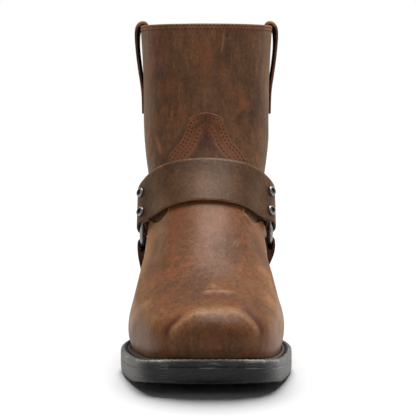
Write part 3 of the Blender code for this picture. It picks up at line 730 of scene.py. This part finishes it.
# Collar stitching
# Two rows of the same waxed thread close under the cut collar, half a stitch apart. They go through shaft
# and lining, and hold the two together.
COLLAR_ROWS_BELOW = (2.3, 4.7)
COLLAR_PITCH = 2.8
COLLAR_HOLE = 1.3
SHAFT_MIDDLE = Vector((0.0, 0.072, COLLAR_TOP))
DEGREES = 361

collar_hits = []
for row, below in enumerate(COLLAR_ROWS_BELOW):
    collar_line = []
    for degree in range(DEGREES):
        way = Vector((math.sin(math.radians(degree)), math.cos(math.radians(degree)), 0.0))
        start = SHAFT_MIDDLE + way - Vector((0.0, 0.0, below * MM))
        collar_line.append(upper_tree.ray_cast(start, -way)[0])
    places = walk(collar_line, COLLAR_PITCH / 2)
    collar_hits.append([upper_tree.find_nearest(place) for place in places[row:]])
sew_rows("collar_seam", collar_hits, COLLAR_HOLE)

# Welt
# A strip of grey-black rubber round the foot, with a raised outer rim, and a sunk channel at the foot of the
# leather where a pale thread sews it to the outsole. The rim is scuffed grey, with a painted highlight along
# its top edge, and the channel is painted near black for its grime and the shade at the foot of the leather.
WELT_BLACK = "1b1b1a"
WELT_GREY = "b4b3ae"
WELT_DIRT_AND_SHADE = "0c0b0a"
WELT_THREAD = "8f8a7e"
WELT_THREAD_DARK = "4d473e"
WELT_PITCH = 4.4
WELT_STITCH_LONG = 2.5
WELT_STITCH_WIDE = 1.4
WELT_STITCH_HIGH = 3.0
STITCH_FROM_FOOT = 1.3
# Painted grime and shade of the channel: none this far from the foot of the leather, and full this near
DIRT_AND_SHADE_ENDS = 5.6
DIRT_AND_SHADE_FULL = 4.2
RIM_IN = 2.0
ABOVE_RIM = 2.0
SEAM_CLOSED = 0.29
UNDERSIDE = -0.4

# Edges painted pale for wear, and on the welt's rim also as a highlight: bent more than this, and facing up
# or down more than this
BENT = math.radians(14)
FACING = 0.2
UPWARD = 1
DOWNWARD = -1

# Outer corners of the toe: where their wear starts and where it is full, outward and forward
CORNER_OUT = (34.0, 54.0)
CORNER_FORWARD = (-30.0, -70.0)

# Foot of the leather all round, found on spokes from a line of hubs along the middle of the sole
DOWN = Vector((0.0, 0.0, -1.0))
OVER = 200.0
SOLE_WIDEST = 75
TOE_TURN = -90.0
HEEL_TURN = 110.0
STRAIGHT = 100


def rub_edges(bm, width_mm, amount, way):
    """Paint wear, and a highlight with it, along the outward edges of a piece that face upward or downward.
    """
    rubbed = point_layer(bm, "rubbed")
    bm.normal_update()
    outward = [edge for edge in bm.edges if edge.calc_face_angle_signed(0.0) > BENT]
    outward = [edge for edge in outward if way * sum(face.normal.z for face in edge.link_faces) > FACING]
    places = kdtree.KDTree(len(outward))
    for index, edge in enumerate(outward):
        places.insert((edge.verts[0].co + edge.verts[1].co) / 2, index)
    places.balance()
    for vert in bm.verts:
        distance = places.find(vert.co)[2] / MM
        vert[rubbed] = max(vert[rubbed], amount * bell(distance, width_mm))


def rub_corners(bm, amount):
    """Paint wear on the outer corners of the toe, where a sole scuffs first."""
    rubbed = point_layer(bm, "rubbed")
    for vert in bm.verts:
        corner = ease(*CORNER_OUT, abs(vert.co.x) / MM) * ease(*CORNER_FORWARD, vert.co.y / MM)
        vert[rubbed] = max(vert[rubbed], amount * corner)


def trimmed_rubber(name, black, grey, rough):
    """Moulded rubber with a trimmed edge: black, with fine level scratches that show grey."""
    material, tree, shader = finish(name, Specular_IOR_Level=0.4)
    spot = add(tree, "TexCoord", {}).outputs["Object"]
    level = add(tree, "Mapping", {"Vector": spot, "Scale": (0.06, 0.06, 1.0)}).outputs["Vector"]
    drawn = {"Vector": level, "Scale": per_metre(0.7), "Detail": 5.0, "Roughness": 0.7}
    scratch = add(tree, "TexNoise", drawn)
    scuff = add(tree, "TexNoise", {"Vector": spot, "Scale": per_metre(24), "Detail": 5.0})
    grit = add(tree, "TexNoise", {"Vector": spot, "Scale": per_metre(1.2), "Detail": 4.0})
    # Pale where painted for scuffs, and on the welt's rim also as a painted highlight
    wear_and_highlight_share = add(tree, "Attribute", {}, attribute_name="rubbed").outputs["Fac"]
    lines = add(tree, "MapRange", {"Value": scratch.outputs["Fac"], "From Min": 0.5, "From Max": 0.75})
    patch = add(tree, "MapRange", {"Value": scuff.outputs["Fac"], "From Min": 0.46, "From Max": 0.74})
    marks = add(tree, "Math", {0: lines.outputs[0], 1: patch.outputs[0]}, operation="MULTIPLY")
    uneven = add(tree, "MapRange", {"Value": grit.outputs["Fac"], "From Min": 0.3, "From Max": 0.6})
    gritty = add(tree, "Math", {0: wear_and_highlight_share, 1: uneven.outputs[0]}, operation="MULTIPLY")
    pale = add(tree, "Math", {0: marks.outputs[0], 1: gritty.outputs[0]}, operation="ADD", use_clamp=True)
    tone = add(tree, "Mix", {0: pale.outputs[0], 6: colour(black), 7: colour(grey)}, data_type="RGBA")
    # Near black where painted for grime and shade, as in the welt's channel
    dirt_and_shade_share = add(tree, "Attribute", {}, attribute_name="soiled").outputs["Fac"]
    tone = add(tree, "Mix", {0: dirt_and_shade_share, 6: tone.outputs[2], 7: colour(WELT_DIRT_AND_SHADE)}, data_type="RGBA")
    dull = {"Value": grit.outputs["Fac"], "To Min": rough - 0.12, "To Max": rough + 0.12}
    gloss = add(tree, "MapRange", dull)
    height = add(tree, "Math", {0: scratch.outputs["Fac"], 1: grit.outputs["Fac"]}, operation="ADD")
    relief = add(tree, "Bump", {"Strength": 0.4, "Distance": 0.2 * MM, "Height": height.outputs[0]})
    tree.links.new(tone.outputs[2], shader.inputs["Base Color"])
    tree.links.new(gloss.outputs[0], shader.inputs["Roughness"])
    tree.links.new(relief.outputs["Normal"], shader.inputs["Normal"])
    return material


welt_rubber = trimmed_rubber("moulded_welt_rubber", WELT_BLACK, WELT_GREY, 0.55)
welt_thread_look = waxed_thread("pale_welt_thread", WELT_THREAD, WELT_THREAD_DARK)
welt_shape = rounded(copy_of("welt"), levels=2, crease=1.0)
welt_shape.normal_update()
for vert in welt_shape.verts:
    if vert.normal.z < UNDERSIDE:
        vert.co.z -= SEAM_CLOSED * MM
welt_tree = BVHTree.FromBMesh(welt_shape)
vamp_tree = solid_tree(vamp)

spokes = []
for step in range(STRAIGHT):
    spokes.append((TOE_TURN + (HEEL_TURN - TOE_TURN) * step / STRAIGHT, 0.0))
for step in range(STRAIGHT):
    spokes.append((HEEL_TURN, math.pi * step / STRAIGHT))
for step in range(STRAIGHT):
    spokes.append((HEEL_TURN + (TOE_TURN - HEEL_TURN) * step / STRAIGHT, math.pi))
for step in range(STRAIGHT + 1):
    spokes.append((TOE_TURN, math.pi * (1.0 + step / STRAIGHT)))
feet = kdtree.KDTree(len(spokes))
channel_line = []
for hub, angle in spokes:
    way = Vector((math.cos(angle), math.sin(angle), 0.0))
    start = Vector((0.0, hub, OVER)) * MM
    inward = range(SOLE_WIDEST, 0, -1)
    reach = next(step for step in inward if welt_tree.ray_cast(start + way * step * MM, DOWN)[0])
    rim = welt_tree.ray_cast(start + way * (reach - RIM_IN) * MM, DOWN)[0]
    foot = vamp_tree.ray_cast(rim + way * RIM_IN * MM - DOWN * ABOVE_RIM * MM, -way)[0]
    feet.insert(foot, len(channel_line))
    seam = foot + way * STITCH_FROM_FOOT * MM
    channel_line.append(welt_tree.ray_cast(seam - DOWN * OVER * MM, DOWN)[0])
feet.balance()

# The channel at the foot of the leather is painted near black, for its grime and the shade that falls there
soiled = point_layer(welt_shape, "soiled")
for vert in welt_shape.verts:
    vert[soiled] = ease(DIRT_AND_SHADE_ENDS, DIRT_AND_SHADE_FULL, feet.find(vert.co)[2] / MM)
# The rim's top edge is painted grey for its scuffs and as a highlight
rub_edges(welt_shape, width_mm=0.9, amount=1.0, way=UPWARD)
rub_corners(welt_shape, amount=0.35)
piece("stitched_welt", welt_shape, [welt_rubber], "welt")
channel_hits = [welt_tree.find_nearest(spot) for spot in walk(channel_line, WELT_PITCH / 2)]
channel_hits = [(spot, -DOWN) for spot, normal, face, distance in channel_hits]
welt_thread = bmesh.new()
sew(welt_thread, seam_steps(channel_hits), WELT_STITCH_LONG, WELT_STITCH_WIDE, WELT_STITCH_HIGH)
piece("welt_stitches", welt_thread, [welt_thread_look])

# Outsole and heel
# Black moulded rubber, trimmed on the edge after it was sewn on. The heel is a block of the same rubber,
# nailed on from inside.
SOLE_BLACK = "1a1a1a"
SOLE_GREY = "8c8c8a"

sole_rubber = trimmed_rubber("trimmed_sole_rubber", SOLE_BLACK, SOLE_GREY, 0.5)
for sole_name, sole_node in (("outsole_edge", "outsole"), ("heel_block", "heel")):
    sole_shape = rounded(copy_of(sole_node), levels=2, crease=1.0)
    rub_edges(sole_shape, width_mm=1.2, amount=0.5, way=DOWNWARD)
    rub_corners(sole_shape, amount=0.45)
    piece(sole_name, sole_shape, [sole_rubber], sole_node)

# Harness straps
# Thick bridle leather, cut square with dark stained edges. Each strap is folded round its ring. The ends of
# the instep and heel straps are riveted back, and the two layers of a side strap are sewn together.
STRAP_DARK = "382314"
STRAP_BROWN = "4e331d"
STRAP_RED = "512d16"
STRAP_EDGE = "663c26"
STRAP_EDGE_DARK = "2e1a10"
STRAPS = ("harness_front_strap", "harness_heel_strap", "side_strap_lateral", "side_strap_medial")

# Fold of a side strap under its ring: how far down it is sewn, how far its layers may stand apart, where it
# starts to close and where it is shut
SEWN_LENGTH = 12.0
LAYERS_APART = 6.0
FOLD_OPEN = -0.3
FOLD_SHUT = 0.4
STEP_OFF = 0.05
MOST_FACES = 4

# Marks on the strap over the instep: paler low in the middle, partly wear and partly a painted highlight,
# painted shade at the sides, and a crooked scratch
STRAP_MARKS = (
    Mark(((-9.0, 128.0), (14.0, 122.0)), 13.0, 0.0, 0.13, 0.0, 0.0),
    Mark(((-2.0, 117.0), (14.0, 117.0)), 4.0, 0.0, 0.12, 0.0, 0.0),
    Mark(((-37.0, 128.0), (-25.0, 118.0)), 8.0, 0.0, 0.0, 0.0, 0.25),
    Mark(((25.0, 120.0), (37.0, 128.0)), 8.0, 0.0, 0.0, 0.0, 0.2),
    Mark(((1.4, 134.6), (2.2, 131.8), (0.4, 128.6), (-1.6, 126.4)), 0.6, 0.0, 0.12, 0.4, 0.0),
    Mark(((-3.8, 136.0), (-2.0, 133.6)), 0.6, 0.0, 0.1, 0.4, 0.0),
)


def close_fold(bm, ring_node):
    """Bring the two layers of a side strap together below its ring, where they are sewn."""
    low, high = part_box(ring_node)
    outward = Vector((math.copysign(1.0, low.x), 0.0, 0.0))
    tree = BVHTree.FromBMesh(bm)
    moves = []
    for vert in bm.verts:
        below = (low.z - vert.co.z) / MM
        faces_over = 0
        spot = vert.co + outward * STEP_OFF * MM
        while (found := tree.ray_cast(spot, outward))[0] and faces_over < MOST_FACES:
            faces_over += 1
            spot = found[0] + outward * STEP_OFF * MM
        # Inside the fold a point has one face of the outer layer over it, or both of them
        way = {1: -outward, 2: outward}.get(faces_over)
        if way is None or not FOLD_OPEN < below < SEWN_LENGTH:
            continue
        gap = tree.ray_cast(vert.co + way * STEP_OFF * MM, way)[3]
        if gap and gap < LAYERS_APART * MM:
            moves.append((vert, way * gap / 2 * ease(FOLD_OPEN, FOLD_SHUT, below)))
    for vert, move in moves:
        vert.co += move


strap_leather = oiled_leather(
    "waxed_strap_leather", STRAP_DARK, STRAP_BROWN, STRAP_RED, patch_mm=26.0, offset=(0.7, 0.3, 0.1)
)
strap_edge = plain_hide("stained_strap_edge", STRAP_EDGE, STRAP_EDGE_DARK, grain_mm=0.7, roughness=0.65)
for strap_node in STRAPS:
    strap_shape = copy_of(strap_node)
    paint_sides(strap_shape, 2)
    for face in strap_shape.faces:
        face.material_index = face.material_index // 2
    goes_down = strap_node.startswith("side_strap")
    strap_shape = rounded(strap_shape, levels=3 if goes_down else 2, crease=0.85)
    if strap_node == "harness_front_strap":
        refine(strap_shape, [mark for mark in STRAP_MARKS if mark.width < FINE_MARK], MARKED_FRONT)
    if goes_down:
        close_fold(strap_shape, strap_node.replace("side_strap", "ring"))
    ready_for_marks(strap_shape)
    press_marks(strap_shape, strap_shape.verts, STRAP_MARKS)
    rub_borders(strap_shape, width_mm=1.3, amount=0.3)
    piece(f"{strap_node}_leather", strap_shape, [strap_leather, strap_edge], strap_node)

# Rings and rivets
# Rings of bent and welded steel wire, which turn in the folds of the straps, and tubular rivets that clench
# the ends of the straps. Both are nickel plated and dulled by use.
NICKEL = "a3a3a1"
NICKEL_DULL = "62625f"
# Painted shade inside the hollow of a rivet
HOLE_SHADE_BLACK = "14110f"
HOLE_SHADE_GREY = "3a3632"
RING_STEPS = 64
WIRE_STEPS = 14
RIVET_STEPS = 28

# Tubular rivet, turned from the edge of its flange over the rolled rim to the bottom of its hole
RIVET_TURNING = (
    (3.45, 0.0), (3.75, 0.25), (3.7, 0.75), (3.2, 1.3), (2.7, 1.5), (2.2, 1.3), (1.95, 0.8), (1.8, 0.2),
)
HOLE_RADIUS = 2.15

# How squarely a face of the solid rivet's base looks away from its cap
SQUARELY = 0.99


def turn_round(bm, axis, steps):
    """Spin a profile one full turn about an axis through the origin."""
    profile = bm.verts[:] + bm.edges[:]
    middle = (0.0, 0.0, 0.0)
    bmesh.ops.spin(bm, geom=profile, cent=middle, axis=axis, angle=math.tau, steps=steps, use_merge=True)
    bmesh.ops.remove_doubles(bm, verts=bm.verts, dist=SAME_PLACE * MM)


def plated_steel():
    """Dull nickel plate: grey metal, cloudy in its colour and its gloss."""
    material, tree, shader = finish("dulled_nickel_plate", Metallic=1.0)
    spot = add(tree, "TexCoord", {}).outputs["Object"]
    cloud = add(tree, "TexNoise", {"Vector": spot, "Scale": per_metre(4.0), "Detail": 5.0}).outputs["Fac"]
    tone = add(tree, "Mix", {0: cloud, 6: colour(NICKEL_DULL), 7: colour(NICKEL)}, data_type="RGBA")
    gloss = add(tree, "MapRange", {"Value": cloud, "To Min": 0.45, "To Max": 0.2})
    tree.links.new(tone.outputs[2], shader.inputs["Base Color"])
    tree.links.new(gloss.outputs[0], shader.inputs["Roughness"])
    return material


nickel = plated_steel()
rivet_hollow_shade = plain_hide("oiled_black_hole", HOLE_SHADE_GREY, HOLE_SHADE_BLACK, grain_mm=0.8, roughness=0.6)
for ring_node in ("ring_lateral", "ring_medial"):
    low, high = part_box(ring_node)
    wire = (high.x - low.x) / 2
    ring_shape = bmesh.new()
    bmesh.ops.create_circle(ring_shape, segments=WIRE_STEPS, radius=wire)
    bmesh.ops.translate(ring_shape, verts=ring_shape.verts, vec=(0.0, (high.z - low.z) / 2 - wire, 0.0))
    turn_round(ring_shape, (1.0, 0.0, 0.0), RING_STEPS)
    bmesh.ops.recalc_face_normals(ring_shape, faces=ring_shape.faces)
    bmesh.ops.translate(ring_shape, verts=ring_shape.verts, vec=(low + high) / 2)
    piece(f"{ring_node}_wire", ring_shape, [nickel], ring_node, body=ring_node)

for rivet_node in [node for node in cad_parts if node.startswith("rivet")]:
    cad_rivet = bmesh.new()
    cad_rivet.from_mesh(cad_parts[rivet_node].data)
    base = max(cad_rivet.faces, key=lambda face: face.calc_area())
    out = -base.normal
    flat = [face for face in cad_rivet.faces if face.normal.dot(out) < -SQUARELY]
    foot = sum((face.calc_center_median() for face in flat), Vector()) / len(flat)
    cad_rivet.free()
    rivet_shape = bmesh.new()
    profile = [rivet_shape.verts.new((radius * MM, 0.0, height * MM)) for radius, height in RIVET_TURNING]
    for near, far in zip(profile, profile[1:]):
        rivet_shape.edges.new((near, far))
    turn_round(rivet_shape, (0.0, 0.0, 1.0), RIVET_STEPS)
    bmesh.ops.holes_fill(rivet_shape, edges=rivet_shape.edges, sides=RIVET_STEPS)
    bmesh.ops.recalc_face_normals(rivet_shape, faces=rivet_shape.faces)
    # Faces inside the rivet's hollow take the near-black painted shade
    for face in rivet_shape.faces:
        face.material_index = int(face.calc_center_median().xy.length < HOLE_RADIUS * MM)
    stand = Matrix.Translation(foot) @ out.to_track_quat("Z", "Y").to_matrix().to_4x4()
    bmesh.ops.transform(rivet_shape, matrix=stand, verts=rivet_shape.verts)
    piece(f"{rivet_node}_cap", rivet_shape, [nickel, rivet_hollow_shade], rivet_node)

# Pull loops
# Strips of shaft leather lined with black leather, sewn to the outside and inside of the shaft and arched
# over the collar, where the hand wears them pale.
LOOP_DARK = "442817"
LOOP_BROWN = "633a20"
LOOP_RED = "723e21"
LOOP_LINING = "2a1c14"
LOOP_LINING_DARK = "15100c"

# Lining: its thickness, and its padding under the arch and down from the collar
LINING_THICKNESS = 0.7
LINING_PADDING = 0.9
PADDED_DOWN = 18.0

# Arch: how worn and how full it is at its top, and how far under the collar it springs
ARCH_WEAR = 0.75
ARCH_FULLNESS = 0.9
ARCH_SPRING = 4.0

loop_lining = plain_hide("blackened_loop_lining", LOOP_LINING, LOOP_LINING_DARK, grain_mm=0.9, roughness=0.85)
loop_leather = oiled_leather(
    "waxed_loop_leather", LOOP_DARK, LOOP_BROWN, LOOP_RED, patch_mm=24.0, offset=(0.2, 0.6, 0.4)
)
for loop_node in ("pull_loop_lateral", "pull_loop_medial"):
    loop_shape = copy_of(loop_node)
    paint_sides(loop_shape, 2)
    for face in loop_shape.faces:
        face.material_index = int(face.material_index == 1)
    loop_shape = rounded(loop_shape, levels=2, crease=0.85)
    loop_shape.normal_update()
    rubbed = point_layer(loop_shape, "rubbed")
    arch_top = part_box(loop_node)[1].z
    for vert in loop_shape.verts:
        arched = ease(COLLAR_TOP - ARCH_SPRING * MM, arch_top, vert.co.z)
        vert[rubbed] = ARCH_WEAR * arched
        if all(face.material_index == 0 for face in vert.link_faces):
            vert.co += vert.normal * ARCH_FULLNESS * MM * arched
        if all(face.material_index == 1 for face in vert.link_faces):
            padding = LINING_PADDING * ease(COLLAR_TOP - PADDED_DOWN * MM, COLLAR_TOP, vert.co.z)
            clearance = upper_tree.find_nearest(vert.co)[3]
            vert.co += vert.normal * min((LINING_THICKNESS + padding) * MM, clearance / 2)
    rub_borders(loop_shape, width_mm=1.0, amount=0.25)
    piece(f"{loop_node}_strip", loop_shape, [loop_leather, loop_lining], loop_node)

# Studio
# A white paper floor, a wide soft light and a dome of light over the boot, a strip light at each side for
# the edges of the leather, and the camera low before the toe, as in the photograph.
FLOOR_HALF = 8.0
CAMERA_BACK = 1.0
CAMERA_HEIGHT = 0.175
CAMERA_ASIDE = 0.00125
FOCAL_PIXELS = 1361.7
IMAGE_PIXELS = 416
HORIZON_PIXEL = 116.0
SENSOR_MM = 36.0
PAPER_WHITE = "f6f6f6"
ROOM_WHITE = "ffffff"
ROOM_LIGHT = 0.05

# Lamps: strength, spread and place of each; the paper's lamp shines from behind, tilted forward
AIM = Vector((0.0, 0.0, 0.12))
LAMP_HEIGHT = 1.5
OVERHEAD = (0.2, 0.0, LAMP_HEIGHT)
TOP_LIGHT = 3.9
TOP_SPREAD = math.radians(40)
DOME_LIGHT = 1.2
DOME_SPREAD = math.radians(160)
STRIP_LIGHT = 1.45
STRIP_WARMTH = "ffe4c4"
STRIP_SIZE = 0.6
STRIP_ASIDE = 0.8
STRIP_BEHIND = 0.55
STRIP_HEIGHT = 0.35
PAPER_LIGHT = 5.0
PAPER_SPREAD = math.radians(40)
PAPER_TILT = math.radians(45)
BEHIND = (0.0, LAMP_HEIGHT * math.tan(PAPER_TILT), LAMP_HEIGHT + AIM.z)
LOW_PIECES = ("vamp", "stitched_welt", "outsole_edge", "heel_block")

floor_shape = bmesh.new()
bmesh.ops.create_grid(floor_shape, x_segments=1, y_segments=1, size=FLOOR_HALF)
floor_mesh = bpy.data.meshes.new("studio_floor")
floor_shape.to_mesh(floor_mesh)
floor_shape.free()
paper = finish("white_paper", Roughness=0.9, Base_Color=colour(PAPER_WHITE))[0]
floor_mesh.materials.append(paper)
floor = bpy.data.objects.new("studio_floor", floor_mesh)
bpy.context.scene.collection.objects.link(floor)

# The room is white to look at, but gives little light of its own
room = bpy.data.worlds.new("white_room")
room.use_nodes = True
room_tree = room.node_tree
seen = add(room_tree, "LightPath", {}).outputs["Is Camera Ray"]
strength = add(room_tree, "Mix", {0: seen, 2: ROOM_LIGHT, 3: 1.0}, data_type="FLOAT").outputs[0]
backdrop = room_tree.nodes["Background"]
backdrop.inputs["Color"].default_value = colour(ROOM_WHITE)
room_tree.links.new(strength, backdrop.inputs["Strength"])
bpy.context.scene.world = room


def aimed_light(name, kind, place, lit, **settings):
    """A lamp at a place, turned towards the boot, that lights only the objects given."""
    data = bpy.data.lights.new(name, kind)
    for setting, value in settings.items():
        setattr(data, setting, value)
    lamp = bpy.data.objects.new(name, data)
    lamp.location = place
    lamp.rotation_euler = (AIM - Vector(place)).to_track_quat("-Z", "Y").to_euler()
    lamp.light_linking.receiver_collection = bpy.data.collections.new(f"lit_by_{name}")
    for thing in lit:
        lamp.light_linking.receiver_collection.objects.link(thing)
    bpy.context.scene.collection.objects.link(lamp)
    return lamp


# The boot and the paper are lit apart, so that the shadow falls forward and stays dark under the toe
aimed_light("top_light", "SUN", OVERHEAD, boot_pieces, energy=TOP_LIGHT, angle=TOP_SPREAD)
aimed_light("dome_light", "SUN", OVERHEAD, boot_pieces, energy=DOME_LIGHT, angle=DOME_SPREAD)
paper_lamp = aimed_light("paper_light", "SUN", BEHIND, [floor], energy=PAPER_LIGHT, angle=PAPER_SPREAD)
paper_lamp.light_linking.blocker_collection = bpy.data.collections.new("shade_the_paper")
for thing in boot_pieces:
    if thing.name in LOW_PIECES:
        paper_lamp.light_linking.blocker_collection.objects.link(thing)
warm = colour(STRIP_WARMTH)[:3]
for side in (-1, 1):
    place = (side * STRIP_ASIDE, STRIP_BEHIND, STRIP_HEIGHT)
    aimed_light("side_strip", "AREA", place, boot_pieces, energy=STRIP_LIGHT, size=STRIP_SIZE, color=warm)

camera_data = bpy.data.cameras.new("camera")
camera_data.sensor_width = SENSOR_MM
camera_data.lens = SENSOR_MM * FOCAL_PIXELS / IMAGE_PIXELS
camera = bpy.data.objects.new("camera", camera_data)
camera.location = (CAMERA_ASIDE, -CAMERA_BACK, CAMERA_HEIGHT)
tilt = math.atan((IMAGE_PIXELS / 2 - HORIZON_PIXEL) / FOCAL_PIXELS)
camera.rotation_euler = (math.pi / 2 - tilt, 0.0, 0.0)
bpy.context.scene.collection.objects.link(camera)
bpy.context.scene.camera = camera
bpy.context.scene.view_settings.view_transform = "Standard"
